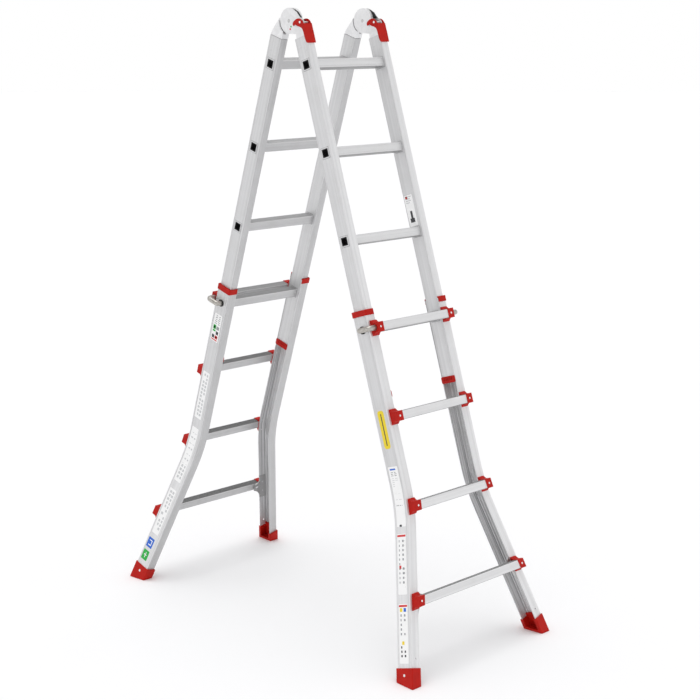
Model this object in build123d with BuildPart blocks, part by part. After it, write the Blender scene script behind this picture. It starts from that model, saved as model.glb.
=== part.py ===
from build123d import *
import math
import os

# Multi position ladder: two inner frames hinged at the top, two outer frames that telescope on them.
# World frame: +Z up, X along the rungs, Y along the spread, origin on the floor at mid footprint.
# Each leg is drawn in its own leg frame: the hinge axis is the X axis, z = -s where s is the distance
# down the stile, and y = leg * v where v is the distance from the hinge plane toward the climbing side.
# leg is -1 for the front frame (-Y) and +1 for the rear frame (+Y); side is -1 left and +1 right.

FRONT = -1
REAR = 1
SIDES = (-1, 1)

# Stance
HALF_SPREAD = 17.5          # degrees between each leg and the vertical
HINGE_HEIGHT = 1962.6       # hinge axis above the floor
PITCH = 280.0               # rung spacing
FIRST_RUNG = 152.0          # hinge axis to the first rung centre, along the stile

# Inner stile: closed box section
IN_X0 = 149.5               # inner face
IN_X1 = 178.5               # outer face
IN_V0 = 12.0
IN_V1 = 66.0
IN_WALL = 2.0
IN_TOP = 64.0
IN_END = 1190.0
IN_XC = (IN_X0 + IN_X1) / 2
IN_VC = (IN_V0 + IN_V1) / 2

# Inner rung: square tube through both stiles
IN_RUNG = 30.0
IN_RUNG_BORE = 26.4
RUNG_RIM = 33.0
RIM_PROUD = 0.8

# Outer stile: channel open toward the middle of the ladder
OUT_X1 = 184.0
OUT_DEPTH = 34.5
OUT_WEB = 2.4
OUT_V0 = 9.4
OUT_V1 = 68.6
OUT_FLANGE = 2.1
OUT_TOP = 936.0
GUIDE_RIB = 2.5
BEND_LEVEL = 1552.0         # where the straight and flared runs would meet
FLARE = 15.4                # degrees
BEND_RADIUS = 520.0

# Outer rung: rectangular tube proud of the climbing side
OUT_RUNG_H = 28.0
OUT_RUNG_V0 = 71.5
OUT_RUNG_V1 = 98.0
OUT_RUNG_WALL = 1.8
OUT_RUNG_VC = (OUT_RUNG_V0 + OUT_RUNG_V1) / 2
RUNG_REACH = 8.0            # rung end beyond the bracket centre

# Rung bracket
BRACKET_INSET = 21.3        # bracket centre inside the stile's outer face, across the stile
BRACKET_HALF = 13.0
BRACKET_FRONT = 99.8
BRACKET_BASE_H = 24.5
BRACKET_NECK_H = 15.6

# Gusset of the lowest rung
GUSSET_T = 2.2
GUSSET_HALF = 50.0
GUSSET_REACH = 27.0         # back rivet inside the bracket centre

# Guide collar and shoe
COLLAR_TOP = 931.0
COLLAR_END = 949.5
COLLAR_WALL = 2.6
SHOE_OUT = 2.0              # skirt thickness on the outer face
SHOE_V0 = 3.0
SHOE_V1 = 73.3
SHOE_TOP = 2018.0
SOLE = 9.0

# Lock hook
HOOK_R = 8.5
HOOK_BRIDGE_X = 202.6
HOOK_BEND = 10.0
HOOK_ROD_R = 4.5
HOOK_CLIP_X = 98.0
HOOK_GUIDE_X = 150.0

# Hinge
DISC_R = 39.5
TOOTH_R = 37.0
PLATES = ((151.6, 163.6), (171.8, 174.4))   # |x| of the inner and the outer side plate
ARM_X0 = 163.9
ARM_X1 = 171.5
ARM_END = 131.0
BOLT_V = 38.2
BOLT_S = 16.9
BOLT_R = 4.0
BOLT_END_R = 3.0
BOLT_TRAVEL = 5.8           # away from the hinge axis
LEVER_V = 55.0
LEVER_S = 21.5
LEVER_GAP_X = 178.9
LEVER_PIN_R = 2.6
LEVER_PLATE = 3.2
HINGE_RIVETS = [(50, 82), (27, 93), (50, 108), (27, 121)]

BEND_TANGENT = math.tan(math.radians(FLARE / 2)) * (BEND_RADIUS + BRACKET_INSET)
BEND_START = BEND_LEVEL - BEND_TANGENT


def leg_location(leg):
    """Leg frame to world frame."""
    return Location((0, 0, HINGE_HEIGHT), (leg * HALF_SPREAD, 0, 0))


def write(builder, label, leg):
    """Stand one finished piece on its leg, name it and write it."""
    builder.part.label = label
    placed = builder.part.moved(leg_location(leg))
    placed.label = label
    export_step(placed, "parts/" + label + ".step")


def floor_plane(leg, lift):
    """The plane at world height lift, seen from the leg frame."""
    a = math.radians(leg * HALF_SPREAD)
    d = lift - HINGE_HEIGHT
    return Plane(origin=(0, d * math.sin(a), d * math.cos(a)), x_dir=(1, 0, 0),
                 z_dir=(0, math.sin(a), math.cos(a)))


def rung_level(k):
    """Distance from the hinge axis to rung level k = 1 to 7."""
    return FIRST_RUNG + (k - 1) * PITCH


def stile_x(s, e):
    """|x| of the outer stile's line that lies e inside its outer face, at level s."""
    b = math.radians(FLARE)
    if s <= BEND_START:
        return OUT_X1 - e
    s_end = BEND_START + (BEND_RADIUS + e) * math.sin(b)
    x_end = OUT_X1 + BEND_RADIUS - (BEND_RADIUS + e) * math.cos(b)
    if s >= s_end:
        return x_end + (s - s_end) * math.tan(b)
    return OUT_X1 + BEND_RADIUS - math.sqrt((BEND_RADIUS + e) ** 2 - (s - BEND_START) ** 2)


def stile_slope(s):
    """Slope dx/ds of the outer stile's centre line at level s."""
    return (stile_x(s + 1, BRACKET_INSET) - stile_x(s - 1, BRACKET_INSET)) / 2


def flare_plane(side, s):
    """Plane across the flared run, at level s of the outer face; local x is outward on the right."""
    b = math.radians(FLARE)
    return Plane(origin=(side * stile_x(s, 0), 0, -s),
                 x_dir=(math.cos(b), 0, side * math.sin(b)),
                 z_dir=(-side * math.sin(b), 0, math.cos(b)))


def shoe_rivet_plane(side, out):
    """Plane along the flared web, out beyond its outer face; local x is Y, local z points outward."""
    b = math.radians(FLARE)
    s = SHOE_TOP + 21
    x = side * stile_x(s, 0)
    return Plane(origin=(x + side * out * math.cos(b), 0, -s + out * math.sin(b)),
                 x_dir=(0, 1, 0), z_dir=(side * math.cos(b), 0, math.sin(b)))


# ---------------------------------------------------------------------------
# Inner frames
# ---------------------------------------------------------------------------

def inner_stile(leg, side):
    with BuildPart() as stile:
        with BuildSketch(Plane.XY.offset(-IN_TOP)):
            with Locations((side * IN_XC, leg * IN_VC)):
                RectangleRounded(IN_X1 - IN_X0, IN_V1 - IN_V0, 2.2)
                RectangleRounded(IN_X1 - IN_X0 - 2 * IN_WALL, IN_V1 - IN_V0 - 2 * IN_WALL, 1,
                                 mode=Mode.SUBTRACT)
            # shallow decorative grooves along both wide faces
            with Locations((side * IN_X1, leg * 18.5), (side * IN_X1, leg * 59.5),
                           (side * IN_X0, leg * 18.5), (side * IN_X0, leg * 59.5)):
                Rectangle(0.8, 1.6, mode=Mode.SUBTRACT)
        extrude(amount=-(IN_END - IN_TOP))
        with BuildSketch(Plane.YZ.offset(side * (IN_X0 - 5))):
            for k in range(1, 5):
                with Locations((leg * IN_VC, -rung_level(k))):
                    RectangleRounded(IN_RUNG, IN_RUNG, 3)
            for v, s in HINGE_RIVETS:
                with Locations((leg * v, -s)):
                    Circle(3)
        extrude(amount=side * (IN_X1 - IN_X0 + 10), mode=Mode.SUBTRACT)
    return stile


def inner_rung(leg, k):
    s = rung_level(k)
    with BuildPart() as rung:
        with BuildSketch(Plane.YZ):
            with Locations((leg * IN_VC, -s)):
                RectangleRounded(IN_RUNG, IN_RUNG, 3)
                RectangleRounded(IN_RUNG_BORE, IN_RUNG_BORE, 1.5, mode=Mode.SUBTRACT)
            # anti-slip grooves on the tread and on the climbing face
            for d in (-11, -8, -5, -2, 2, 5, 8, 11):
                with Locations((leg * (IN_VC + d), -s + IN_RUNG / 2)):
                    Rectangle(1.5, 1.8, mode=Mode.SUBTRACT)
            for d in (-9, 9):
                with Locations((leg * (IN_VC + IN_RUNG / 2), -s + d)):
                    Rectangle(0.9, 1.2, mode=Mode.SUBTRACT)
        extrude(amount=IN_X1, both=True)
        # the tube is swaged against both walls of each stile
        for side in SIDES:
            with BuildSketch(Plane.YZ.offset(side * IN_X1)):
                with Locations((leg * IN_VC, -s)):
                    RectangleRounded(RUNG_RIM, RUNG_RIM, 4)
                    RectangleRounded(IN_RUNG_BORE, IN_RUNG_BORE, 1.5, mode=Mode.SUBTRACT)
            extrude(amount=side * RIM_PROUD)
            with BuildSketch(Plane.YZ.offset(side * IN_X0)):
                with Locations((leg * IN_VC, -s)):
                    RectangleRounded(RUNG_RIM, RUNG_RIM, 4)
                    RectangleRounded(IN_RUNG_BORE, IN_RUNG_BORE, 1.5, mode=Mode.SUBTRACT)
            extrude(amount=-side * 1.6)
    return rung


def rung_sockets(leg):
    """Black sockets pressed into the open ends of the four inner rungs."""
    with BuildPart() as sockets:
        for side in SIDES:
            for k in range(1, 5):
                with BuildSketch(Plane.YZ.offset(side * (IN_X1 + RIM_PROUD))):
                    with Locations((leg * IN_VC, -rung_level(k))):
                        RectangleRounded(IN_RUNG_BORE, IN_RUNG_BORE, 1.5)
                extrude(amount=-side * 20)
        for side in SIDES:
            with BuildSketch(Plane.YZ.offset(side * (IN_X1 + RIM_PROUD))):
                for k in range(1, 5):
                    with Locations((leg * IN_VC, -rung_level(k))):
                        RectangleRounded(20.5, 20.5, 4)
            extrude(amount=-side * 12, mode=Mode.SUBTRACT)
            with BuildSketch(Plane.YZ.offset(side * (IN_X1 + RIM_PROUD))):
                for k in range(1, 5):
                    with Locations((leg * IN_VC, -rung_level(k))):
                        Circle(9.3)
            extrude(amount=-side * 20, mode=Mode.SUBTRACT)
    return sockets


def end_plugs(leg):
    """Red plugs that close the lower ends of the inner stiles, with a plate across the channel's lips."""
    with BuildPart() as plugs:
        for side in SIDES:
            with BuildSketch(Plane.XY.offset(-IN_END)):
                with Locations((side * IN_XC, leg * IN_VC)):
                    RectangleRounded(IN_X1 - IN_X0, IN_V1 - IN_V0, 2.2)
            extrude(amount=-22)
            with BuildSketch(Plane.YZ.offset(side * (IN_X0 - 0.3))):
                with Locations((leg * (OUT_V0 + OUT_V1) / 2, -IN_END - 11)):
                    RectangleRounded(OUT_V1 - OUT_V0, 22, 5)
            extrude(amount=-side * 2.5)
            with BuildSketch(Plane.YZ.offset(side * (IN_X0 - 0.3))):
                with Locations((leg * IN_VC, -IN_END - 11)):
                    Rectangle(IN_V1 - IN_V0 - 10, 18)
            extrude(amount=side * 3)
            with BuildSketch(Plane.XY.offset(-IN_END)):
                with Locations((side * IN_XC, leg * IN_VC)):
                    RectangleRounded(IN_X1 - IN_X0 - 2 * IN_WALL, IN_V1 - IN_V0 - 2 * IN_WALL, 1)
                    RectangleRounded(IN_X1 - IN_X0 - 2 * IN_WALL - 6, IN_V1 - IN_V0 - 2 * IN_WALL - 6, 2,
                                     mode=Mode.SUBTRACT)
            extrude(amount=25)
            # grip slots on the inner face
            with BuildSketch(Plane.YZ.offset(side * (IN_X0 - 2.8))):
                with Locations((leg * IN_VC, -IN_END - 9)):
                    with GridLocations(8, 1, 5, 1):
                        Rectangle(3.4, 9)
            extrude(amount=side * 2, mode=Mode.SUBTRACT)
    return plugs


# ---------------------------------------------------------------------------
# Outer frames
# ---------------------------------------------------------------------------

def bracket_rivets(k):
    """Positions (|x|, s) of the two flush rivets that hold bracket k to the flange."""
    s = rung_level(k + 3)
    return [(stile_x(s + d, BRACKET_INSET), s + d) for d in (-20.5, 20.5)]


def outer_stile(leg, side):
    b = math.radians(FLARE)
    centre_x = side * (OUT_X1 + BEND_RADIUS)
    end_x = centre_x - side * BEND_RADIUS * math.cos(b)
    end_z = -BEND_START - BEND_RADIUS * math.sin(b)
    with BuildPart() as stile:
        with BuildLine() as path:
            Line((side * OUT_X1, 0, -OUT_TOP), (side * OUT_X1, 0, -BEND_START))
            ThreePointArc((side * OUT_X1, 0, -BEND_START),
                          (centre_x - side * BEND_RADIUS * math.cos(b / 2), 0,
                           -BEND_START - BEND_RADIUS * math.sin(b / 2)),
                          (end_x, 0, end_z))
            Line((end_x, 0, end_z),
                 (end_x + side * 600 * math.sin(b), 0, end_z - 600 * math.cos(b)))
        with BuildSketch(Plane.XY.offset(-OUT_TOP)):
            x_mid = side * (OUT_X1 - OUT_DEPTH / 2)
            v_mid = leg * (OUT_V0 + OUT_V1) / 2
            with Locations((x_mid, v_mid)):
                RectangleRounded(OUT_DEPTH, OUT_V1 - OUT_V0, 2.5)
            with Locations((side * (OUT_X1 - OUT_DEPTH + 2), v_mid)):
                Rectangle(4, OUT_V1 - OUT_V0)
            with Locations((side * (OUT_X1 - OUT_WEB - 20), v_mid)):
                Rectangle(40, OUT_V1 - OUT_V0 - 2 * OUT_FLANGE, mode=Mode.SUBTRACT)
            # guide ribs that the inner stile runs on
            with Locations((side * (OUT_X1 - OUT_WEB - GUIDE_RIB / 2), leg * 17),
                           (side * (OUT_X1 - OUT_WEB - GUIDE_RIB / 2), leg * 61)):
                Rectangle(GUIDE_RIB, 4)
            # two low stiffening ribs between them
            with Locations((side * (OUT_X1 - OUT_WEB - 0.5), leg * 31),
                           (side * (OUT_X1 - OUT_WEB - 0.5), leg * 47)):
                Rectangle(1.0, 2)
            # shallow grooves along the outer face
            with Locations((side * OUT_X1, leg * 16), (side * OUT_X1, leg * 62)):
                Rectangle(1.0, 1.8, mode=Mode.SUBTRACT)
        sweep(path=path.line)
        split(bisect_by=floor_plane(leg, SOLE), keep=Keep.TOP)
        # hole for the lock hook's bush
        with BuildSketch(Plane.YZ.offset(side * (OUT_X1 - 8))):
            with Locations((leg * IN_VC, -rung_level(4))):
                Circle(11)
        extrude(amount=side * 12, mode=Mode.SUBTRACT)
        # flush rivet holes in the climbing flange, and the drain hole above the shoe
        with BuildSketch(Plane.XZ.offset(-leg * (OUT_V1 - 5))):
            for k in range(1, 5):
                for x, s in bracket_rivets(k):
                    with Locations((side * x, -s)):
                        Circle(2.4)
            with Locations((side * stile_x(1996, 17), -1996)):
                Circle(3.2)
        extrude(amount=-leg * 8, mode=Mode.SUBTRACT)
        # rivet hole through the web inside the shoe
        with BuildSketch(shoe_rivet_plane(side, 5)):
            with Locations((leg * IN_VC, 0)):
                Circle(2.5)
        extrude(amount=-20, mode=Mode.SUBTRACT)
    return stile


def rung_half(k):
    """Half length of outer rung k."""
    return stile_x(rung_level(k + 3), BRACKET_INSET) + RUNG_REACH


def outer_rung(leg, k):
    s = rung_level(k + 3)
    centre = stile_x(s, BRACKET_INSET)
    with BuildPart() as rung:
        with BuildSketch(Plane.YZ):
            with Locations((leg * OUT_RUNG_VC, -s)):
                RectangleRounded(OUT_RUNG_V1 - OUT_RUNG_V0, OUT_RUNG_H, 2)
                RectangleRounded(OUT_RUNG_V1 - OUT_RUNG_V0 - 2 * OUT_RUNG_WALL,
                                 OUT_RUNG_H - 2 * OUT_RUNG_WALL, 1, mode=Mode.SUBTRACT)
            for d in (-9.5, -6.5, -3.5, 0, 3.5, 6.5, 9.5):
                with Locations((leg * (OUT_RUNG_VC + d), -s + OUT_RUNG_H / 2)):
                    Rectangle(1.5, 1.8, mode=Mode.SUBTRACT)
        extrude(amount=rung_half(k), both=True)
        # rivet holes in the front wall, and in the back wall of the lowest rung
        with BuildSketch(Plane.XZ.offset(-leg * (OUT_RUNG_V1 - 4))):
            for side in SIDES:
                with Locations((side * centre, -s)):
                    Circle(2)
        extrude(amount=-leg * 8, mode=Mode.SUBTRACT)
        if k == 4:
            with BuildSketch(Plane.XZ.offset(-leg * (OUT_RUNG_V0 - 2))):
                for side in SIDES:
                    with Locations((side * (centre - GUSSET_REACH), -s)):
                        Circle(2.4)
            extrude(amount=-leg * 6, mode=Mode.SUBTRACT)
    return rung


def rung_bracket(leg, side, k):
    """Red bracket: a wide base on the flange that necks to a collar around the rung end."""
    s = rung_level(k + 3)
    x = stile_x(s, BRACKET_INSET)
    slope = stile_slope(s)
    with BuildPart() as bracket:
        with BuildSketch(Plane.YZ.offset(side * (x - 30))):
            with BuildLine():
                Polyline((leg * OUT_V1, -s - BRACKET_BASE_H), (leg * 72.5, -s - BRACKET_BASE_H),
                         (leg * 79.5, -s - BRACKET_NECK_H - 1.5), (leg * 83, -s - BRACKET_NECK_H),
                         (leg * BRACKET_FRONT, -s - BRACKET_NECK_H),
                         (leg * BRACKET_FRONT, -s + BRACKET_NECK_H),
                         (leg * 83, -s + BRACKET_NECK_H), (leg * 79.5, -s + BRACKET_NECK_H + 1.5),
                         (leg * 72.5, -s + BRACKET_BASE_H), (leg * OUT_V1, -s + BRACKET_BASE_H),
                         close=True)
            make_face()
        extrude(amount=side * 60)
        front = bracket.edges().filter_by(Axis.X).group_by(Axis.Y)[-1 if leg > 0 else 0]
        fillet(front, 1.6)
        # both ends follow the stile's slope
        with BuildSketch(Plane.XZ.offset(-leg * (OUT_V1 - 5))):
            with BuildLine():
                Polyline((side * (x - BRACKET_HALF - 30 * slope), -s + 30),
                         (side * (x + BRACKET_HALF - 30 * slope), -s + 30),
                         (side * (x + BRACKET_HALF + 30 * slope), -s - 30),
                         (side * (x - BRACKET_HALF + 30 * slope), -s - 30), close=True)
            make_face()
        extrude(amount=-leg * 50, mode=Mode.INTERSECT)
        # pocket for the rung
        with BuildSketch(Plane.YZ.offset(side * (x - 35))):
            with Locations((leg * OUT_RUNG_VC, -s)):
                RectangleRounded(OUT_RUNG_V1 - OUT_RUNG_V0, OUT_RUNG_H, 2)
        extrude(amount=side * (35 + RUNG_REACH), mode=Mode.SUBTRACT)
        # front rivet hole
        with BuildSketch(Plane.XZ.offset(-leg * (BRACKET_FRONT - 4))):
            with Locations((side * x, -s)):
                Circle(2)
        extrude(amount=-leg * 8, mode=Mode.SUBTRACT)
        # blind holes for the flush rivets
        with BuildSketch(Plane.XZ.offset(-leg * (OUT_V1 - 1))):
            for rx, rs in bracket_rivets(k):
                with Locations((side * rx, -rs)):
                    Circle(2.4)
        extrude(amount=-leg * 3.9, mode=Mode.SUBTRACT)
        # way in for the lock hook
        if k == 1:
            with BuildSketch(Plane.YZ.offset(side * x)):
                with Locations((leg * OUT_RUNG_VC, -s)):
                    Circle(HOOK_R + 1.2)
            extrude(amount=side * 30, mode=Mode.SUBTRACT)
    return bracket


def gusset(leg, side):
    """Pressed steel gusset behind the flange, with a boss that carries the lowest rung."""
    s = rung_level(7)
    t = math.tan(math.radians(FLARE))
    face = OUT_V1 - OUT_FLANGE
    lip = stile_x(s, OUT_DEPTH + 2.5)
    outer = stile_x(s, 6)
    reach = stile_x(s, BRACKET_INSET) - GUSSET_REACH
    tip = reach - BRACKET_HALF
    h = GUSSET_HALF
    n = 13.5
    with BuildPart() as plate:
        with BuildSketch(Plane.XZ.offset(-leg * (face - GUSSET_T))):
            with BuildLine():
                Polyline((side * (lip + h * t), -s - h), (side * (outer + h * t), -s - h),
                         (side * (outer - h * t), -s + h), (side * (lip - h * t), -s + h))
                ThreePointArc((side * (lip - h * t), -s + h),
                              (side * (lip - 9), -s + n + 9), (side * tip, -s + n))
                Line((side * tip, -s + n), (side * tip, -s - n))
                ThreePointArc((side * tip, -s - n), (side * (lip - 5), -s - n - 8),
                              (side * (lip + h * t), -s - h))
            make_face()
        extrude(amount=-leg * GUSSET_T)
        with BuildSketch(Plane.XZ.offset(-leg * face)):
            with Locations((side * reach, -s)):
                Circle(8)
        extrude(amount=-leg * (OUT_RUNG_V0 - face))
        with BuildSketch(Plane.XZ.offset(-leg * (face - 6))):
            for rx, rs in bracket_rivets(4):
                with Locations((side * rx, -rs)):
                    Circle(2.4)
            with Locations((side * reach, -s)):
                Circle(2.4)
        extrude(amount=-leg * 16, mode=Mode.SUBTRACT)
    return plate


def collars(leg):
    """Red guide collars on the tops of the outer stiles."""
    with BuildPart() as caps:
        for side in SIDES:
            with BuildSketch(Plane.XY.offset(-COLLAR_TOP)):
                with Locations((side * (OUT_X1 + COLLAR_WALL - 19), leg * (OUT_V0 + OUT_V1) / 2)):
                    RectangleRounded(38, OUT_V1 - OUT_V0 + 2 * COLLAR_WALL, 5)
            extrude(amount=-(COLLAR_END - COLLAR_TOP))
        rims = caps.edges().filter_by(GeomType.LINE).filter_by(Axis.Y)
        fillet(rims.group_by(Axis.Z)[-1].sort_by(Axis.X)[0], 1.5)
        rims = caps.edges().filter_by(GeomType.LINE).filter_by(Axis.Y)
        fillet(rims.group_by(Axis.Z)[-1].sort_by(Axis.X)[-1], 1.5)
        for side in SIDES:
            # way through for the inner stile and the rims of its rungs
            with BuildSketch(Plane.XY.offset(-COLLAR_TOP + 1)):
                with Locations((side * (OUT_X1 - 4 - 25), leg * IN_VC)):
                    Rectangle(50, IN_V1 - IN_V0 + 1.2)
            extrude(amount=-(COLLAR_END - COLLAR_TOP + 2), mode=Mode.SUBTRACT)
            # seat over the stile's end
            with BuildSketch(Plane.XY.offset(-OUT_TOP)):
                with Locations((side * (OUT_X1 - 25), leg * (OUT_V0 + OUT_V1) / 2)):
                    RectangleRounded(50, OUT_V1 - OUT_V0, 2.5)
            extrude(amount=-30, mode=Mode.SUBTRACT)
    return caps


def shoe(leg, side, stile):
    """Red shoe: wraps the stile's end, with an insert against the web and a pocket open to the middle."""
    inner_x = OUT_DEPTH + 2.5
    width = inner_x + SHOE_OUT
    with BuildPart() as pocket:
        with BuildSketch(flare_plane(side, SHOE_TOP - 20)):
            with Locations((side * -(OUT_WEB + 28), leg * IN_VC)):
                Rectangle(42, 46)
        extrude(amount=-130)
        split(bisect_by=floor_plane(leg, 9), keep=Keep.TOP)
    with BuildPart() as foot:
        with BuildSketch(flare_plane(side, SHOE_TOP)):
            with Locations((side * (SHOE_OUT - width / 2), leg * (SHOE_V0 + SHOE_V1) / 2)):
                RectangleRounded(width, SHOE_V1 - SHOE_V0, 3.5)
        extrude(amount=-130)
        floor = floor_plane(leg, 0)
        split(bisect_by=floor, keep=Keep.TOP)
        sole = foot.faces().sort_by(lambda f: floor.to_local_coords(f.center()).Z)[0]
        fillet(sole.edges(), 1.5)
        # the insert stands a little higher than the skirt
        with BuildSketch(flare_plane(side, SHOE_TOP - 9)):
            with Locations((side * -(OUT_WEB + 3.5), leg * IN_VC)):
                Rectangle(7, OUT_V1 - OUT_V0 - 2 * OUT_FLANGE)
        extrude(amount=-12)
        add(pocket.part, mode=Mode.SUBTRACT)
        with BuildSketch(shoe_rivet_plane(side, 10)):
            with Locations((leg * IN_VC, 0)):
                Circle(2.5)
        extrude(amount=-26, mode=Mode.SUBTRACT)
        add(stile.part, mode=Mode.SUBTRACT)
    return foot


def domed_rivet(face, shank, length, head, dome):
    """Rivet with a domed head on the face plane and its shank going down the plane's normal."""
    ball = (head ** 2 + dome ** 2) / (2 * dome)
    half = math.asin(head / ball) / 2
    with BuildPart() as pin:
        with BuildSketch(Plane.XZ):
            with BuildLine():
                Polyline((0, dome), (0, -length), (shank, -length), (shank, 0), (head, 0))
                ThreePointArc((head, 0), (ball * math.sin(half), dome - ball * (1 - math.cos(half))),
                              (0, dome))
            make_face()
        revolve(axis=Axis.Z)
    return face * pin.part


def flush_rivet(face, shank, length):
    """Rivet filed flush with the face plane."""
    with BuildPart() as pin:
        with BuildSketch():
            Circle(shank)
        extrude(amount=-length)
    return face * pin.part


def outer_rivets(leg):
    """All rivets of one outer frame."""
    items = []
    for side in SIDES:
        for k in range(1, 5):
            s = rung_level(k + 3)
            x = stile_x(s, BRACKET_INSET)
            face = Plane(origin=(side * x, leg * BRACKET_FRONT, -s), x_dir=(1, 0, 0),
                         z_dir=(0, leg, 0))
            items.append(domed_rivet(face, 2, BRACKET_FRONT - OUT_RUNG_V1 + OUT_RUNG_WALL, 3.4, 1.8))
            back = OUT_V1 - OUT_FLANGE - (GUSSET_T if k == 4 else 0)
            for rx, rs in bracket_rivets(k):
                flat = Plane(origin=(side * rx, leg * back, -rs), x_dir=(1, 0, 0), z_dir=(0, -leg, 0))
                items.append(flush_rivet(flat, 2.4, OUT_V1 + 2.9 - back))
        s = rung_level(7)
        back = Plane(origin=(side * (stile_x(s, BRACKET_INSET) - GUSSET_REACH),
                             leg * (OUT_V1 - OUT_FLANGE - GUSSET_T), -s),
                     x_dir=(1, 0, 0), z_dir=(0, -leg, 0))
        items.append(domed_rivet(back, 2.4, OUT_RUNG_V0 + OUT_RUNG_WALL - OUT_V1 + OUT_FLANGE + GUSSET_T,
                                 4.5, 2.0))
        web = shoe_rivet_plane(side, SHOE_OUT)
        items.append(domed_rivet(web * Pos(leg * IN_VC, 0, 0), 2.5, SHOE_OUT + OUT_WEB + 8.5, 4.5, 1.6))
    return items


def hook_bushes(leg):
    """Black bushes in the webs and black guide blocks inside the first outer rung."""
    s = rung_level(4)
    with BuildPart() as bushes:
        for side in SIDES:
            with BuildSketch(Plane.YZ.offset(side * OUT_X1)):
                with Locations((leg * IN_VC, -s)):
                    Circle(12.2)
            extrude(amount=side * 2.2)
            with BuildSketch(Plane.YZ.offset(side * 180.2)):
                with Locations((leg * IN_VC, -s)):
                    Circle(11)
            extrude(amount=side * (OUT_X1 - 180.2))
            with BuildSketch(Plane.YZ.offset(side * 170)):
                with Locations((leg * IN_VC, -s)):
                    Circle(HOOK_R + 0.06)
            extrude(amount=side * 30, mode=Mode.SUBTRACT)
        for side in SIDES:
            with BuildSketch(Plane.YZ.offset(side * HOOK_GUIDE_X)):
                with Locations((leg * OUT_RUNG_VC, -s)):
                    RectangleRounded(OUT_RUNG_V1 - OUT_RUNG_V0 - 2 * OUT_RUNG_WALL,
                                     OUT_RUNG_H - 2 * OUT_RUNG_WALL, 1)
                    Circle(HOOK_ROD_R + 0.06, mode=Mode.SUBTRACT)
            extrude(amount=side * 6)
    return bushes


def lock_hook(leg, side):
    """Round-bar hook: short leg in the web's bush, long leg in the rung with a clip at its end."""
    s = rung_level(4)
    r = HOOK_BEND
    d = r * (1 - math.sqrt(0.5))
    bx = HOOK_BRIDGE_X
    v0 = IN_VC
    v1 = OUT_RUNG_VC
    with BuildPart() as hook:
        with BuildLine() as path:
            Line((side * 180.3, leg * v0, -s), (side * (bx - r), leg * v0, -s))
            ThreePointArc((side * (bx - r), leg * v0, -s),
                          (side * (bx - d), leg * (v0 + d), -s),
                          (side * bx, leg * (v0 + r), -s))
            Line((side * bx, leg * (v0 + r), -s), (side * bx, leg * (v1 - r), -s))
            ThreePointArc((side * bx, leg * (v1 - r), -s),
                          (side * (bx - d), leg * (v1 - d), -s),
                          (side * (bx - r), leg * v1, -s))
            Line((side * (bx - r), leg * v1, -s), (side * 160, leg * v1, -s))
        with BuildSketch(Plane(origin=(side * 180.3, leg * v0, -s), x_dir=(0, 1, 0),
                               z_dir=(side, 0, 0))):
            Circle(HOOK_R)
        sweep(path=path.line)
        with BuildSketch(Plane.YZ.offset(side * 160)):
            with Locations((leg * v1, -s)):
                Circle(HOOK_ROD_R)
        extrude(amount=-side * (160 - HOOK_CLIP_X))
        with BuildSketch(Plane.YZ.offset(side * (HOOK_CLIP_X + 1))):
            with Locations((leg * v1, -s)):
                Circle(9.8)
        extrude(amount=side * 1.6)
    return hook


def lock_spring(leg, side):
    """Compression spring between the guide block and the hook's clip."""
    s = rung_level(4)
    x0 = HOOK_CLIP_X + 2.6 + 0.8
    length = HOOK_GUIDE_X - 0.8 - x0
    with BuildPart() as spring:
        with BuildLine() as coil:
            Helix(pitch=length / 7, height=length, radius=7,
                  center=(side * x0, leg * OUT_RUNG_VC, -s), direction=(side, 0, 0))
        with BuildSketch(Plane(origin=coil.line @ 0, z_dir=coil.line % 0)):
            Circle(0.75)
        sweep(path=coil.line, is_frenet=True)
    return spring


# ---------------------------------------------------------------------------
# Hinges
# ---------------------------------------------------------------------------

def front_plates():
    """Two side plates per hinge, fixed inside the tops of the front inner stiles."""
    reach = math.hypot(BOLT_V, BOLT_S)
    mid = 1 + BOLT_TRAVEL / 2 / reach
    # climbing side of each outline: the outer plate widens toward the lever's pin
    plain = [(-39.1, -5.3), (-52, -28), (-60, -45), (-61.5, -52)]
    wide = [(-25.4, 30.2), (-40.3, 15.5), (-46.5, 1.7), (-54.5, -10.5), (-61, -17), (-63, -24), (-62, -52)]
    with BuildPart() as plates:
        for side in SIDES:
            for (x0, x1), edge in zip(PLATES, (plain, wide)):
                with BuildSketch(Plane.YZ.offset(side * x0)):
                    Circle(DISC_R)
                    with BuildLine():
                        Polyline((0, 0), *edge, (-61.5, -60), (-61.5, -ARM_END), (-16.5, -ARM_END),
                                 (-16.5, -62), (-18.2, -48.7), (11.9, -37.7), close=True)
                    make_face()
                    Circle(6, mode=Mode.SUBTRACT)
                    with Locations((-LEVER_V, -LEVER_S)):
                        Circle(LEVER_PIN_R, mode=Mode.SUBTRACT)
                    # slot for the lock bolt's end
                    with Locations((-BOLT_V * mid, -BOLT_S * mid)):
                        SlotOverall(BOLT_TRAVEL + 2 * BOLT_END_R + 1, 2 * BOLT_END_R + 0.6,
                                    rotation=math.degrees(math.atan2(BOLT_S, BOLT_V)),
                                    mode=Mode.SUBTRACT)
                    for v, s in HINGE_RIVETS:
                        with Locations((-v, -s)):
                            Circle(3, mode=Mode.SUBTRACT)
                extrude(amount=side * (x1 - x0))
    return plates


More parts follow.
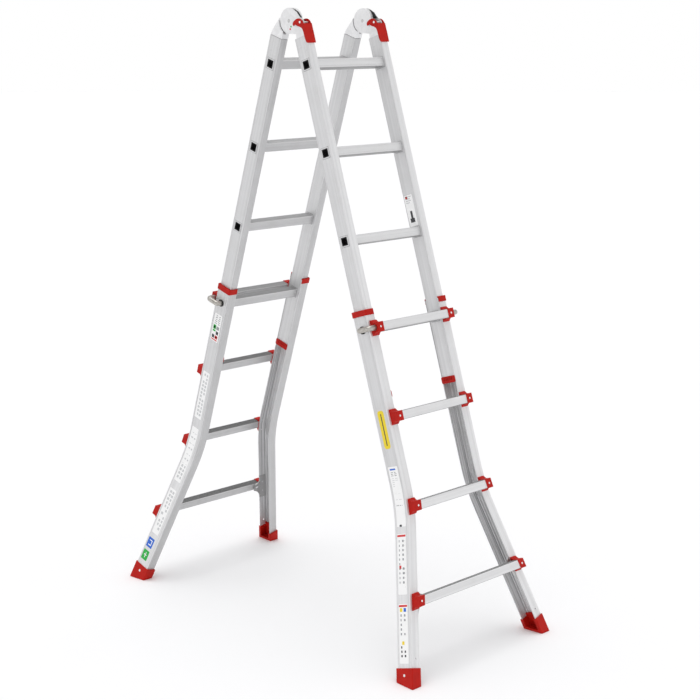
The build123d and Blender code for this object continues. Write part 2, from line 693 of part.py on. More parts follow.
def front_spacers():
    """Black spacers of the side plates: blocks inside the front stiles and a guide beside the disc."""
    with BuildPart() as blocks:
        for side in SIDES:
            for x0, x1 in ((PLATES[0][1], PLATES[1][0]), (PLATES[1][1], IN_X1 - IN_WALL)):
                with BuildSketch(Plane.YZ.offset(side * x0)):
                    with BuildLine():
                        Polyline((-61.5, -68), (-61.5, -ARM_END), (-16.5, -ARM_END), (-16.5, -68),
                                 close=True)
                    make_face()
                    for v, s in HINGE_RIVETS:
                        with Locations((-v, -s)):
                            Circle(3, mode=Mode.SUBTRACT)
                extrude(amount=side * (x1 - x0))
            with BuildSketch(Plane.YZ.offset(side * PLATES[0][1])):
                with BuildLine():
                    Polyline((-28, 27.6), (-40.3, 15.5), (-46.5, 1.7), (-50.5, -4.5), (-30, -4.5),
                             (-20, 24), close=True)
                make_face()
                Circle(TOOTH_R + 0.5, mode=Mode.SUBTRACT)
            extrude(amount=side * (PLATES[1][0] - PLATES[0][1]))
    return blocks


def notch(angle):
    """Lock bolt seat on the rear disc for a fold angle, in the rear leg frame."""
    a = math.radians(-(2 * HALF_SPREAD + angle))
    r = 36.5 / math.hypot(BOLT_V, BOLT_S)
    y = -BOLT_V * r
    z = -BOLT_S * r
    return (y * math.cos(a) - z * math.sin(a), y * math.sin(a) + z * math.cos(a))


def rear_arms():
    """Notched disc and arm of each hinge, fixed inside the tops of the rear inner stiles."""
    with BuildPart() as arms:
        for side in SIDES:
            with BuildSketch(Plane.YZ.offset(side * ARM_X0)):
                Circle(TOOTH_R)
                with BuildLine():
                    Polyline((0, 0), (28, -34), (56, -54), (61.5, -61), (61.5, -ARM_END),
                             (16.5, -ARM_END), (16.5, -60), (8, -37), close=True)
                make_face()
                Circle(6.06, mode=Mode.SUBTRACT)
                for angle in (-2 * HALF_SPREAD, 0, 180 - 2 * HALF_SPREAD):
                    with Locations(notch(angle)):
                        Circle(BOLT_R + 0.3, mode=Mode.SUBTRACT)
                for v, s in HINGE_RIVETS:
                    with Locations((v, -s)):
                        Circle(3, mode=Mode.SUBTRACT)
            extrude(amount=side * (ARM_X1 - ARM_X0))
            # packing on both sides of the arm inside the tube
            for x0, x1 in ((IN_X0 + IN_WALL, ARM_X0), (ARM_X1, IN_X1 - IN_WALL)):
                with BuildSketch(Plane.YZ.offset(side * x0)):
                    with BuildLine():
                        Polyline((61.5, -66), (61.5, -ARM_END), (16.5, -ARM_END), (16.5, -66),
                                 close=True)
                    make_face()
                    for v, s in HINGE_RIVETS:
                        with Locations((v, -s)):
                            Circle(3, mode=Mode.SUBTRACT)
                extrude(amount=side * (x1 - x0))
    return arms


def rear_shells(arms):
    """Die-cast shells that carry the rear stiles' outline up to the discs."""
    with BuildPart() as shells:
        for side in SIDES:
            with BuildSketch(Plane.YZ.offset(side * IN_X0)):
                with BuildLine():
                    Polyline((12, -62.6), (12, -30), (30, 0), (40.5, -3), (44, -10), (62.5, -49),
                             (66, -62.6), close=True)
                make_face()
                Circle(DISC_R + 1.8, mode=Mode.SUBTRACT)
            extrude(amount=side * (IN_X1 - IN_X0))
        long_edges = shells.edges().filter_by(GeomType.LINE).filter_by(
            lambda e: abs(e.tangent_at(0.5).X) < 0.01 and e.center().Y > 46 and e.length > 12
            and e.center().Z > -61)
        fillet(long_edges, 3)
        # room for the wide outer plate and the guide when the ladder is straight
        for side in SIDES:
            with BuildSketch(Plane.YZ.offset(side * (PLATES[0][1] - 0.3))):
                Circle(47.6)
            extrude(amount=side * (PLATES[1][1] - PLATES[0][1] + 0.6), mode=Mode.SUBTRACT)
            # bright step around the disc
            with BuildSketch(Plane.YZ.offset(side * (IN_X1 - 1.5))):
                Circle(DISC_R + 3.6)
            extrude(amount=side * 2, mode=Mode.SUBTRACT)
        add(arms.part, mode=Mode.SUBTRACT)
    return shells


def pivot_pins():
    """Flush pins of the two hinges."""
    with BuildPart() as pins:
        for side in SIDES:
            with BuildSketch(Plane.YZ.offset(side * PLATES[0][0])):
                Circle(6)
            extrude(amount=side * (PLATES[1][1] - PLATES[0][0]))
        chamfer(pins.faces().filter_by(Axis.X).edges(), 0.5)
    return pins


def hinge_rivets(leg):
    """Rivets through the top of each inner stile, with low heads on both sides."""
    with BuildPart() as pins:
        for side in SIDES:
            with BuildSketch(Plane.YZ.offset(side * (IN_X0 - 0.4))):
                for v, s in HINGE_RIVETS:
                    with Locations((leg * v, -s)):
                        Circle(3.8)
            extrude(amount=side * 0.4)
            with BuildSketch(Plane.YZ.offset(side * IN_X1)):
                for v, s in HINGE_RIVETS:
                    with Locations((leg * v, -s)):
                        Circle(3.8)
            extrude(amount=side * 0.4)
        chamfer(pins.faces().filter_by(Axis.X).filter_by(
            lambda f: abs(abs(f.center().X) - IN_X0 + 0.4) < 0.01
            or abs(abs(f.center().X) - IN_X1 - 0.4) < 0.01).edges(), 0.3)
        for side in SIDES:
            with BuildSketch(Plane.YZ.offset(side * IN_X0)):
                for v, s in HINGE_RIVETS:
                    with Locations((leg * v, -s)):
                        Circle(3)
            extrude(amount=side * (IN_X1 - IN_X0))
    return pins


def cam_point(share):
    """Lock bolt centre seen from the lever, at a share of their travel, as (y, z)."""
    a = math.radians(30 * share)
    r = 1 + share * BOLT_TRAVEL / math.hypot(BOLT_V, BOLT_S)
    dv = BOLT_V * r - LEVER_V
    ds = BOLT_S * r - LEVER_S
    return (-LEVER_V - dv * math.cos(a) + ds * math.sin(a), -LEVER_S - dv * math.sin(a) - ds * math.cos(a))


def lever(side):
    """Red release lever: two hooked legs astride the hinge, joined by a web down the stile's front."""
    inner_leg = IN_X0 - 0.4 - LEVER_PLATE
    with BuildPart() as handle:
        for x in (inner_leg, LEVER_GAP_X):
            with BuildSketch(Plane.YZ.offset(side * x)):
                with BuildLine():
                    Spline((-23.5, -24.2), (-21, -18.8), (-24.5, -13), (-33.5, -9), (-44, -7.6),
                           (-53, -9.4), (-60.5, -15), (-65.3, -24), (-67.8, -38), (-69, -54))
                    Polyline((-69, -54), (-69, -88.4), (-68, -90.4))
                    Spline((-68, -90.4), (-65, -88.2), (-62.2, -81), (-60.6, -68), (-60, -54),
                           (-57, -42), (-48.3, -34.2), (-39, -28.4), (-32, -22.6), (-27.4, -22.4),
                           (-23.5, -24.2))
                make_face()
                with Locations((-LEVER_V, -LEVER_S)):
                    Circle(LEVER_PIN_R + 0.06, mode=Mode.SUBTRACT)
            extrude(amount=side * LEVER_PLATE)
        with BuildSketch(Plane.XY.offset(-29)):
            with Locations((side * (IN_X0 + IN_X1) / 2, -67.6)):
                Rectangle(35.6, 2.4)
        extrude(amount=-61.3)
        # blind cam slots that move the lock bolt's ends
        for x in (IN_X0 - 0.4 - 1.8, LEVER_GAP_X):
            with BuildSketch(Plane.YZ.offset(side * x)):
                for share in (0, 0.5, 1):
                    with Locations(cam_point(share)):
                        Circle(BOLT_END_R + 0.35)
                make_hull()
            extrude(amount=side * 1.8, mode=Mode.SUBTRACT)
    return handle


def lever_pins():
    """Pins of the release levers, with a round head on each leg."""
    with BuildPart() as pins:
        for side in SIDES:
            with BuildSketch(Plane.YZ.offset(side * (IN_X0 - 0.4 - LEVER_PLATE - 0.2))):
                with Locations((-LEVER_V, -LEVER_S)):
                    Circle(LEVER_PIN_R)
            extrude(amount=side * (LEVER_GAP_X + LEVER_PLATE + 0.2 - IN_X0 + 0.4 + LEVER_PLATE + 0.2))
            for x, d in ((IN_X0 - 0.4 - LEVER_PLATE - 0.2, -1), (LEVER_GAP_X + LEVER_PLATE + 0.2, 1)):
                with BuildSketch(Plane.YZ.offset(side * x)):
                    with Locations((-LEVER_V, -LEVER_S)):
                        Circle(3.6)
                extrude(amount=side * d * 1.2)
    return pins


def lock_bolt(side):
    """Cross bolt that the levers' cam slots lift clear of the notched disc."""
    with BuildPart() as bolt:
        with BuildSketch(Plane.YZ.offset(side * (PLATES[0][1] + 0.3))):
            with Locations((-BOLT_V, -BOLT_S)):
                Circle(BOLT_R)
        extrude(amount=side * (PLATES[1][0] - PLATES[0][1] - 0.6))
        with BuildSketch(Plane.YZ.offset(side * (IN_X0 - 1.9))):
            with Locations((-BOLT_V, -BOLT_S)):
                Circle(BOLT_END_R)
        extrude(amount=side * (LEVER_GAP_X + 1.5 - IN_X0 + 1.9))
    return bolt


# ---------------------------------------------------------------------------
# Write every piece
# ---------------------------------------------------------------------------

def group(parts):
    """Several like solids as one piece."""
    with BuildPart() as block:
        add(parts)
    return block


os.makedirs("parts", exist_ok=True)
NAMES = {FRONT: "front", REAR: "rear"}
SIDE_NAMES = {-1: "left", 1: "right"}

for leg in (FRONT, REAR):
    name = NAMES[leg]
    for side in SIDES:
        write(inner_stile(leg, side), name + "_inner_stile_" + SIDE_NAMES[side], leg)
    for k in range(1, 5):
        write(inner_rung(leg, k), name + "_inner_rung_" + str(k), leg)
    write(rung_sockets(leg), name + "_inner_rung_sockets", leg)
    write(end_plugs(leg), name + "_inner_end_plugs", leg)
    write(hinge_rivets(leg), name + "_hinge_rivets", leg)

    shoes = []
    for side in SIDES:
        stile = outer_stile(leg, side)
        write(stile, name + "_outer_stile_" + SIDE_NAMES[side], leg)
        shoes.append(shoe(leg, side, stile).part)
    write(group(shoes), name + "_shoes", leg)
    for k in range(1, 5):
        write(outer_rung(leg, k), name + "_outer_rung_" + str(k), leg)
    brackets = [rung_bracket(leg, side, k).part for side in SIDES for k in range(1, 5)]
    write(group(brackets), name + "_rung_brackets", leg)
    write(group([gusset(leg, side).part for side in SIDES]), name + "_gussets", leg)
    write(group(outer_rivets(leg)), name + "_outer_rivets", leg)
    write(collars(leg), name + "_collars", leg)
    write(hook_bushes(leg), name + "_hook_bushes", leg)
    for side in SIDES:
        write(lock_hook(leg, side), name + "_lock_hook_" + SIDE_NAMES[side], leg)
        write(lock_spring(leg, side), name + "_lock_spring_" + SIDE_NAMES[side], leg)

arms = rear_arms()
write(arms, "hinge_rear_arms", REAR)
write(rear_shells(arms), "hinge_rear_shells", REAR)
write(front_plates(), "hinge_front_plates", FRONT)
write(front_spacers(), "hinge_front_spacers", FRONT)
write(pivot_pins(), "hinge_pivot_pins", FRONT)
write(lever_pins(), "lever_pins", FRONT)
for side in SIDES:
    write(lever(side), "lever_" + SIDE_NAMES[side], FRONT)
    write(lock_bolt(side), "lock_bolt_" + SIDE_NAMES[side], FRONT)
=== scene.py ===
import math
import random

import bmesh
import bpy
from mathutils import Matrix, Vector


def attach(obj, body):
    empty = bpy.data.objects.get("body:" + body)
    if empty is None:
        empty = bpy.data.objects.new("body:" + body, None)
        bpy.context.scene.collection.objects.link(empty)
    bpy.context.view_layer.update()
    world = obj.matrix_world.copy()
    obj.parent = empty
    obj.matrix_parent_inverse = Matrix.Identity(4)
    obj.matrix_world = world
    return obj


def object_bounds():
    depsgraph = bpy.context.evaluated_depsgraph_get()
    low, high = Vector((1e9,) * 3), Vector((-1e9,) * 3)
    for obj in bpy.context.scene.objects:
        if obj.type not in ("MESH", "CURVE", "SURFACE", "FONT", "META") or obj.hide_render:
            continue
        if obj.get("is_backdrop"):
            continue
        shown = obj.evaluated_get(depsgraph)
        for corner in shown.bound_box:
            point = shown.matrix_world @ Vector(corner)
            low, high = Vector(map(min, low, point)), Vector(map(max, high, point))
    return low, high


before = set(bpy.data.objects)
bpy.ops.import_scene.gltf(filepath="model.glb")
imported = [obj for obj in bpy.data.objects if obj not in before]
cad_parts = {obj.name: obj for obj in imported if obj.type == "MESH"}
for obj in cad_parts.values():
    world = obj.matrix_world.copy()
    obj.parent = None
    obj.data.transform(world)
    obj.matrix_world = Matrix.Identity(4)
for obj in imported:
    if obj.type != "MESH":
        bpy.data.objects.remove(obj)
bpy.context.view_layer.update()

# Leg frames, in metres: x along the rungs, y = leg * v across the stile, z = -s down the stile from
# the hinge axis. side is -1 on the left and +1 on the right.
FRONT = -1
REAR = 1
PHI = math.radians(17.5)        # each leg's lean from the vertical
HINGE = 1.9626                  # hinge axis above the floor
PITCH = 0.280                   # rung spacing
FIRST_RUNG = 0.152              # hinge axis to the first rung
MID_V = 0.039                   # middle of the stiles, across
INNER_X = 0.1495                # inner stile's inward face
RIM_REACH = 0.0172              # half of a rung's swaged rim
PLATE_X = 0.1744                # outer hinge plate's outer face
WEB_X = 0.184                   # outer stile's outer face, above the bend
CHANNEL_X = 0.1829              # just inside that face
CHANNEL_HALF = 0.0279           # half of the channel's clear width
BEND_LEVEL = 1.552              # where the straight and the flared run would meet
BEND_S = 1.4788                 # where the bend starts
BEND_R = 0.520
FLARE = math.radians(15.4)


def leg_matrix(leg):
    """Leg frame to row frame."""
    return Matrix.Translation((0, 0, HINGE)) @ Matrix.Rotation(leg * PHI, 4, "X")


# ---------------------------------------------------------------------------
# Materials
# ---------------------------------------------------------------------------

class Look:
    """One node material, with short ways to add nodes and to fill their sockets."""

    def __init__(self, name):
        self.mat = bpy.data.materials.new(name)
        self.mat.use_nodes = True
        self.tree = self.mat.node_tree
        self.bsdf = self.tree.nodes["Principled BSDF"]

    def put(self, node, sockets):
        for key, value in sockets.items():
            if isinstance(value, bpy.types.NodeSocket):
                self.tree.links.new(value, node.inputs[key])
            else:
                node.inputs[key].default_value = value

    def node(self, kind, sockets=None, **settings):
        node = self.tree.nodes.new(kind)
        for key, value in settings.items():
            setattr(node, key, value)
        self.put(node, sockets or {})
        return node

    def place(self, leg=0):
        """Coordinates in metres, in the row frame or in a leg frame."""
        coords = self.node("ShaderNodeTexCoord").outputs["Object"]
        if leg:
            coords = self.node("ShaderNodeMapping", {"Vector": coords, "Location": (0, 0, HINGE),
                                                     "Rotation": (leg * PHI, 0, 0)},
                               vector_type="TEXTURE").outputs["Vector"]
        return coords

    def split(self, vector):
        """The X, Y and Z outputs of a vector."""
        return self.node("ShaderNodeSeparateXYZ", {"Vector": vector}).outputs

    def stretch(self, coords, x, y, z):
        """Coordinates with their own number of cells per metre along each axis."""
        return self.node("ShaderNodeMapping", {"Vector": coords, "Scale": (x, y, z)}).outputs["Vector"]

    def noise(self, coords, scale=1.0, detail=3.0, rough=0.5, warp=0.0):
        return self.node("ShaderNodeTexNoise", {"Vector": coords, "Scale": scale, "Detail": detail,
                                                "Roughness": rough, "Distortion": warp}).outputs["Fac"]

    def math(self, kind, a, b=0.0, clamp=False):
        return self.node("ShaderNodeMath", {0: a, 1: b}, operation=kind, use_clamp=clamp).outputs[0]

    def remap(self, value, a, b, c=0.0, d=1.0):
        return self.node("ShaderNodeMapRange", {"Value": value, "From Min": a, "From Max": b,
                                                "To Min": c, "To Max": d}).outputs["Result"]

    def blend(self, factor, a, b):
        node = self.node("ShaderNodeMix", data_type="RGBA")
        for index, value in ((0, factor), (6, a), (7, b)):
            if isinstance(value, bpy.types.NodeSocket):
                self.tree.links.new(value, node.inputs[index])
            else:
                node.inputs[index].default_value = value
        return node.outputs[2]

    def bump(self, height, distance, strength=1.0, normal=None):
        sockets = {"Height": height, "Distance": distance, "Strength": strength}
        if normal is not None:
            sockets["Normal"] = normal
        return self.node("ShaderNodeBump", sockets).outputs["Normal"]

    def finish(self, **sockets):
        names = {"color": "Base Color", "metal": "Metallic", "rough": "Roughness", "normal": "Normal",
                 "coat": "Coat Weight", "coat_rough": "Coat Roughness", "level": "Specular IOR Level"}
        self.put(self.bsdf, {names[key]: value for key, value in sockets.items()})
        return self.mat


def rgb(r, g, b):
    return (r, g, b, 1.0)


def grey(v):
    return (v, v, v * 1.01, 1.0)


def extruded(name, leg, along, tone, kind="inner"):
    """Satin extruded aluminium: die lines along the profile, faint bands, handling marks and dust.

    Some of its light and dark is painted and not lit: see direction_shade, channel_mask and tread_and_base.
    """
    look = Look(name)
    coords = look.place(leg)
    if kind == "outer":
        coords = unflared(look, coords)

    def lines(across, down):
        if along == "x":
            return look.stretch(coords, down, across, across)
        return look.stretch(coords, across, across, down)

    die = look.noise(lines(900, 3), 1.0, 4.0, 0.65)
    bands = look.noise(lines(110, 0.8), 1.0, 2.0, 0.5)
    scratch = look.noise(lines(2600, 26), 1.0, 2.0, 0.7)
    smudge = look.noise(coords, 14.0, 5.0, 0.62, 0.4)
    fine = look.noise(coords, 1800.0, 2.0, 0.6)
    marks = look.remap(scratch, 0.66, 0.78, 0.0, 1.0)
    tint = look.remap(look.math("ADD", look.math("MULTIPLY", die, 0.5), look.math("MULTIPLY", bands, 0.5)),
                      0.36, 0.64)
    clean = look.blend(tint, grey(tone * 0.90), grey(tone * 1.06))
    dusty = look.blend(look.remap(smudge, 0.52, 0.78, 0.0, 0.22), clean,
                       rgb(tone * 0.84, tone * 0.83, tone * 0.80))
    color = look.blend(look.math("MULTIPLY", marks, 0.35), dusty, grey(min(tone * 1.2, 0.95)))
    shade = direction_shade(look)
    if kind == "outer":
        inside = channel_mask(look, coords, leg)
        # painted shade and light: streaks inside the channel stand in for the shade of its grooves, in place
        # of the direction shading
        channel_shade_streak = look.remap(look.noise(lines(420, 1.5), 1.0, 2.0, 0.6), 0.38, 0.62, 0.62, 1.32)
        shade = look.math("ADD", look.math("MULTIPLY", shade, look.math("SUBTRACT", 1.0, inside)),
                          look.math("MULTIPLY", channel_shade_streak, inside))
    color = look.node("ShaderNodeVectorMath", {0: color, "Scale": shade}, operation="SCALE").outputs["Vector"]
    metal, level = 0.55, 0.5
    if kind == "inner":
        # painted shadow: a thin dark line round each rung's rim on the inner stile
        color = look.blend(rim_shadow_line(look, leg), color, grey(tone * 0.42))
    if kind == "rung":
        # painted shade: treads darker toward the feet in place of dull reflections, and darker undersides
        top, base = tread_and_base(look, coords, leg)
        color = look.blend(top, color, grey(tone * 0.26))
        color = look.blend(base, color, grey(tone * 0.30))
        metal = look.math("SUBTRACT", 0.55, look.math("MULTIPLY", top, 0.5))
        level = look.math("SUBTRACT", 0.5, look.math("MULTIPLY", top, 0.45))
    rough = look.math("ADD", look.remap(smudge, 0.3, 0.75, 0.34, 0.47), look.math("MULTIPLY", die, 0.10))
    height = look.math("ADD", look.math("MULTIPLY", die, 0.7), look.math("MULTIPLY", fine, 0.3))
    normal = look.bump(height, 0.00012, 0.5)
    normal = look.bump(look.math("MULTIPLY", marks, -1.0), 0.00006, 0.6, normal)
    return look.finish(color=color, metal=metal, level=level, rough=rough, normal=normal)


def unflared(look, coords):
    """Leg coordinates of an outer stile with its flared run laid straight, both sides alike."""
    split = look.split(coords)
    down = look.math("MULTIPLY", split["Z"], -1.0)
    below = look.math("MAXIMUM", look.math("SUBTRACT", down, BEND_LEVEL), 0.0)
    lean = look.math("MULTIPLY", below, math.tan(FLARE))
    x = look.math("SUBTRACT", look.math("ABSOLUTE", split["X"]), lean)
    return look.node("ShaderNodeCombineXYZ", {"X": x, "Y": split["Y"], "Z": split["Z"]}).outputs["Vector"]


def direction_shade(look):
    """Painted shading: darker where a face looks down in the world, lighter where it looks up."""
    facing = look.split(look.node("ShaderNodeNewGeometry").outputs["Normal"])["Z"]
    return look.remap(facing, -0.3, 0.3, 0.78, 1.10)


def tread_and_base(look, coords, leg):
    """Painted shade on a rung's tread in place of its dull reflections, stronger toward the feet, and painted
    shade on its underside.
    """
    normal = look.node("ShaderNodeTexCoord").outputs["Normal"]
    turned = look.node("ShaderNodeMapping", {"Vector": normal, "Rotation": (leg * PHI, 0, 0)},
                       vector_type="TEXTURE").outputs["Vector"]
    up = look.split(turned)["Z"]
    low = look.remap(look.split(coords)["Z"], -0.35, -1.3, 0.12, 1.0)
    top = look.math("MULTIPLY", look.remap(up, 0.55, 0.9), low)
    return top, look.remap(up, -0.25, -0.75, 0.0, 0.75)


def from_middle(look, split, leg):
    """Distance from the middle of the stile, across."""
    return look.math("ABSOLUTE", look.math("ADD", look.math("MULTIPLY", split["Y"], leg), -MID_V))


def channel_mask(look, coords, leg):
    """1 inside the outer stile's channel, where streaks of painted shade and light take the place of the
    painted direction shading.
    """
    split = look.split(coords)
    depth = look.math("LESS_THAN", look.math("ABSOLUTE", split["X"]), CHANNEL_X)
    return look.math("MULTIPLY", depth, look.math("LESS_THAN", from_middle(look, split, leg), CHANNEL_HALF))


def rim_shadow_line(look, leg):
    """1 in the thin painted shadow around each rung's swaged rim on the inner stile, where it meets the
    stile.
    """
    split = look.split(look.place(leg))
    down = look.math("PINGPONG", look.math("SUBTRACT", -FIRST_RUNG, split["Z"]), PITCH / 2)
    reach = look.math("MAXIMUM", from_middle(look, split, leg), down)
    off = look.math("ABSOLUTE", look.math("SUBTRACT", reach, RIM_REACH))
    return look.remap(off, 0.0005, 0.0011, 0.75, 0.0)


def cast_metal(name, tone):
    """Die-cast or pressed light metal: fine grain, flow marks, and edges with a painted highlight and a
    little less roughness.
    """
    look = Look(name)
    coords = look.place()
    grain = look.noise(coords, 1300.0, 3.0, 0.6)
    flow = look.noise(coords, 45.0, 4.0, 0.55, 1.2)
    pits = look.node("ShaderNodeTexVoronoi", {"Vector": coords, "Scale": 420.0}).outputs["Distance"]
    edge = edge_highlight_mask(look, 0.0012)
    color = look.blend(look.remap(flow, 0.35, 0.65), grey(tone * 0.94), grey(tone * 1.03))
    # painted highlight: edges lighter in colour
    color = look.blend(look.math("MULTIPLY", edge, 0.5), color, grey(min(tone * 1.12, 0.97)))
    rough = look.math("SUBTRACT", look.remap(grain, 0.3, 0.7, 0.36, 0.50), look.math("MULTIPLY", edge, 0.1))
    height = look.math("ADD", grain, look.math("MULTIPLY", look.remap(pits, 0.0, 0.18), 0.4))
    return look.finish(color=color, metal=0.65, rough=rough,
                       normal=look.bump(height, 0.00014, 0.45, soft_edge(look, 0.0006)))


def soft_edge(look, radius):
    """Normal with every sharp edge rounded to a radius in metres."""
    return look.node("ShaderNodeBevel", {"Radius": radius}, samples=4).outputs["Normal"]


def edge_highlight_mask(look, radius):
    """1 along sharp edges and 0 on open faces, for the painted edge highlights."""
    round_normal = soft_edge(look, radius)
    flat_normal = look.node("ShaderNodeNewGeometry").outputs["Normal"]
    match = look.node("ShaderNodeVectorMath", {0: round_normal, 1: flat_normal},
                      operation="DOT_PRODUCT").outputs["Value"]
    return look.remap(match, 0.995, 0.90)


def zinc(name, tone, warm=1.0):
    """Zinc plated steel: soft spangle, rolling lines and a painted highlight along the edges."""
    look = Look(name)
    coords = look.place()
    spangle = look.node("ShaderNodeTexVoronoi", {"Vector": coords, "Scale": 160.0,
                                                 "Randomness": 1.0}).outputs["Color"]
    spangle = look.node("ShaderNodeSeparateColor", {"Color": spangle}).outputs["Red"]
    cloud = look.noise(coords, 60.0, 4.0, 0.6)
    grain = look.noise(coords, 1500.0, 2.0, 0.6)
    edge = edge_highlight_mask(look, 0.0008)
    shade = look.math("ADD", look.math("MULTIPLY", spangle, 0.35), look.math("MULTIPLY", cloud, 0.65))
    color = look.blend(look.remap(shade, 0.2, 0.8), rgb(tone * 0.88, tone * 0.88, tone * 0.88 / warm),
                       rgb(tone * 1.08, tone * 1.07, tone * 1.06 / warm))
    # painted highlight: edges lighter in colour
    color = look.blend(look.math("MULTIPLY", edge, 0.45), color, grey(min(tone * 1.3, 0.95)))
    rough = look.remap(shade, 0.2, 0.8, 0.30, 0.44)
    return look.finish(color=color, metal=1.0, rough=rough,
                       normal=look.bump(grain, 0.00008, 0.4, soft_edge(look, 0.0004)))


def drawn_bar(name, leg):
    """Bare drawn bar, warm grey, with fine rings from turning and polished rub marks."""
    look = Look(name)
    coords = look.place(leg)
    lines = look.noise(look.stretch(coords, 30, 1500, 1500), 1.0, 3.0, 0.6)
    stain = look.noise(coords, 90.0, 4.0, 0.6, 0.6)
    grain = look.noise(coords, 1700.0, 2.0, 0.6)
    color = look.blend(look.remap(stain, 0.36, 0.66), rgb(0.40, 0.375, 0.34), rgb(0.56, 0.545, 0.515))
    rubbed = look.math("MULTIPLY", look.remap(lines, 0.55, 0.75), 0.35)
    color = look.blend(rubbed, color, rgb(0.72, 0.70, 0.67))
    rough = look.remap(stain, 0.3, 0.7, 0.30, 0.46)
    height = look.math("ADD", look.math("MULTIPLY", lines, 0.6), look.math("MULTIPLY", grain, 0.4))
    return look.finish(color=color, metal=0.9, rough=rough, normal=look.bump(height, 0.0001, 0.5))


def rivet_metal(name):
    """Bright aluminium rivets with a turned, slightly dished face."""
    look = Look(name)
    coords = look.place()
    grain = look.noise(coords, 900.0, 3.0, 0.6)
    dirt = look.noise(coords, 140.0, 3.0, 0.6)
    color = look.blend(look.remap(dirt, 0.45, 0.7, 0.0, 0.4), grey(0.93), rgb(0.70, 0.69, 0.67))
    return look.finish(color=color, metal=0.75, rough=look.remap(grain, 0.3, 0.7, 0.26, 0.42),
                       normal=look.bump(grain, 0.0001, 0.4, soft_edge(look, 0.0006)))


def moulded(name, dark, light, scuff_and_highlight_color, gloss):
    """Injection moulded plastic: fine spark texture, uneven gloss, rounded edges, scuffs, and a patchy
    painted highlight along the edges.
    """
    look = Look(name)
    coords = look.place()
    spark = look.noise(coords, 1250.0, 3.0, 0.65)
    cells = look.node("ShaderNodeTexVoronoi", {"Vector": coords, "Scale": 950.0}).outputs["Distance"]
    flow = look.noise(coords, 32.0, 4.0, 0.55, 0.8)
    scuff = look.noise(look.stretch(coords, 700, 700, 60), 1.0, 3.0, 0.7)
    edge = look.math("MULTIPLY", edge_highlight_mask(look, 0.0012), look.remap(flow, 0.38, 0.62), True)
    color = look.blend(look.remap(flow, 0.3, 0.7), dark, light)
    color = look.blend(look.math("MULTIPLY", look.remap(scuff, 0.64, 0.80), 0.25), color, scuff_and_highlight_color)
    # painted highlight: edges lighter in patches; the scuffs above are real wear
    color = look.blend(look.math("MULTIPLY", edge, 0.55), color, scuff_and_highlight_color)
    rough = look.math("ADD", look.remap(spark, 0.3, 0.7, gloss - 0.05, gloss + 0.07),
                      look.remap(flow, 0.3, 0.7, -0.04, 0.06))
    height = look.math("ADD", look.math("MULTIPLY", spark, 0.6), look.math("MULTIPLY", cells, 0.4))
    return look.finish(color=color, rough=rough, level=0.16,
                       normal=look.bump(height, 0.0002, 0.35, soft_edge(look, 0.0008)))


def vinyl(name, color, speckle=0.05):
    """Printed self-adhesive film: satin laminate over slightly uneven ink."""
    look = Look(name)
    coords = look.place()
    ink = look.noise(coords, 2400.0, 2.0, 0.6)
    ripple = look.noise(coords, 70.0, 2.0, 0.5)
    dark = rgb(*(c * (1 - speckle) for c in color))
    light = rgb(*(min(c * (1 + speckle), 1) for c in color))
    shade = look.blend(look.remap(ink, 0.3, 0.7), dark, light)
    height = look.math("ADD", look.math("MULTIPLY", ripple, 0.8), look.math("MULTIPLY", ink, 0.2))
    return look.finish(color=shade, rough=look.remap(ripple, 0.3, 0.7, 0.34, 0.46), level=0.4,
                       coat=0.15, coat_rough=0.3, normal=look.bump(height, 0.0001, 0.3))


def paint_node(name, material):
    """One material on the whole of a node."""
    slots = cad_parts[name].material_slots
    if not slots:
        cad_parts[name].data.materials.append(material)
    for slot in slots:
        slot.material = material


RED = moulded("red_plastic", rgb(0.42, 0.007, 0.003), rgb(0.51, 0.010, 0.005), rgb(0.58, 0.05, 0.035), 0.48)
BLACK = moulded("black_plastic", rgb(0.010, 0.010, 0.011), rgb(0.020, 0.020, 0.021),
                rgb(0.09, 0.09, 0.09), 0.46)
SHELL = cast_metal("cast_shell", 0.84)
PLATE = cast_metal("hinge_plate", 0.82)
DISC = zinc("notched_disc", 0.36)
STEEL = zinc("zinc_steel", 0.60)
SPRING = zinc("spring_wire", 0.50, 1.02)
RIVET = rivet_metal("rivet")
HOOKS = {leg: drawn_bar(f"hook_bar_{leg}", leg) for leg in (FRONT, REAR)}

for leg, end in ((FRONT, "front"), (REAR, "rear")):
    inner = extruded(f"{end}_inner_extrusion", leg, "z", 0.73)
    outer = extruded(f"{end}_outer_extrusion", leg, "z", 0.73, "outer")
    rung = extruded(f"{end}_rung_extrusion", leg, "x", 0.72, "rung")
    for side in ("left", "right"):
        paint_node(f"{end}_inner_stile_{side}", inner)
        paint_node(f"{end}_outer_stile_{side}", outer)
        paint_node(f"{end}_lock_hook_{side}", HOOKS[leg])
        paint_node(f"{end}_lock_spring_{side}", SPRING)
    for k in range(1, 5):
        paint_node(f"{end}_inner_rung_{k}", rung)
        paint_node(f"{end}_outer_rung_{k}", rung)
    for part in ("shoes", "rung_brackets", "collars", "inner_end_plugs"):
        paint_node(f"{end}_{part}", RED)
    for part in ("inner_rung_sockets", "hook_bushes"):
        paint_node(f"{end}_{part}", BLACK)
    paint_node(f"{end}_outer_rivets", RIVET)
    paint_node(f"{end}_hinge_rivets", inner)
    paint_node(f"{end}_gussets", STEEL)
for side in ("left", "right"):
    paint_node(f"lever_{side}", RED)
    paint_node(f"lock_bolt_{side}", STEEL)
paint_node("hinge_front_plates", PLATE)
paint_node("hinge_front_spacers", BLACK)
paint_node("hinge_rear_shells", SHELL)
paint_node("hinge_rear_arms", DISC)
paint_node("hinge_pivot_pins", STEEL)
paint_node("lever_pins", RIVET)


# ---------------------------------------------------------------------------
# Plain label panels
# ---------------------------------------------------------------------------

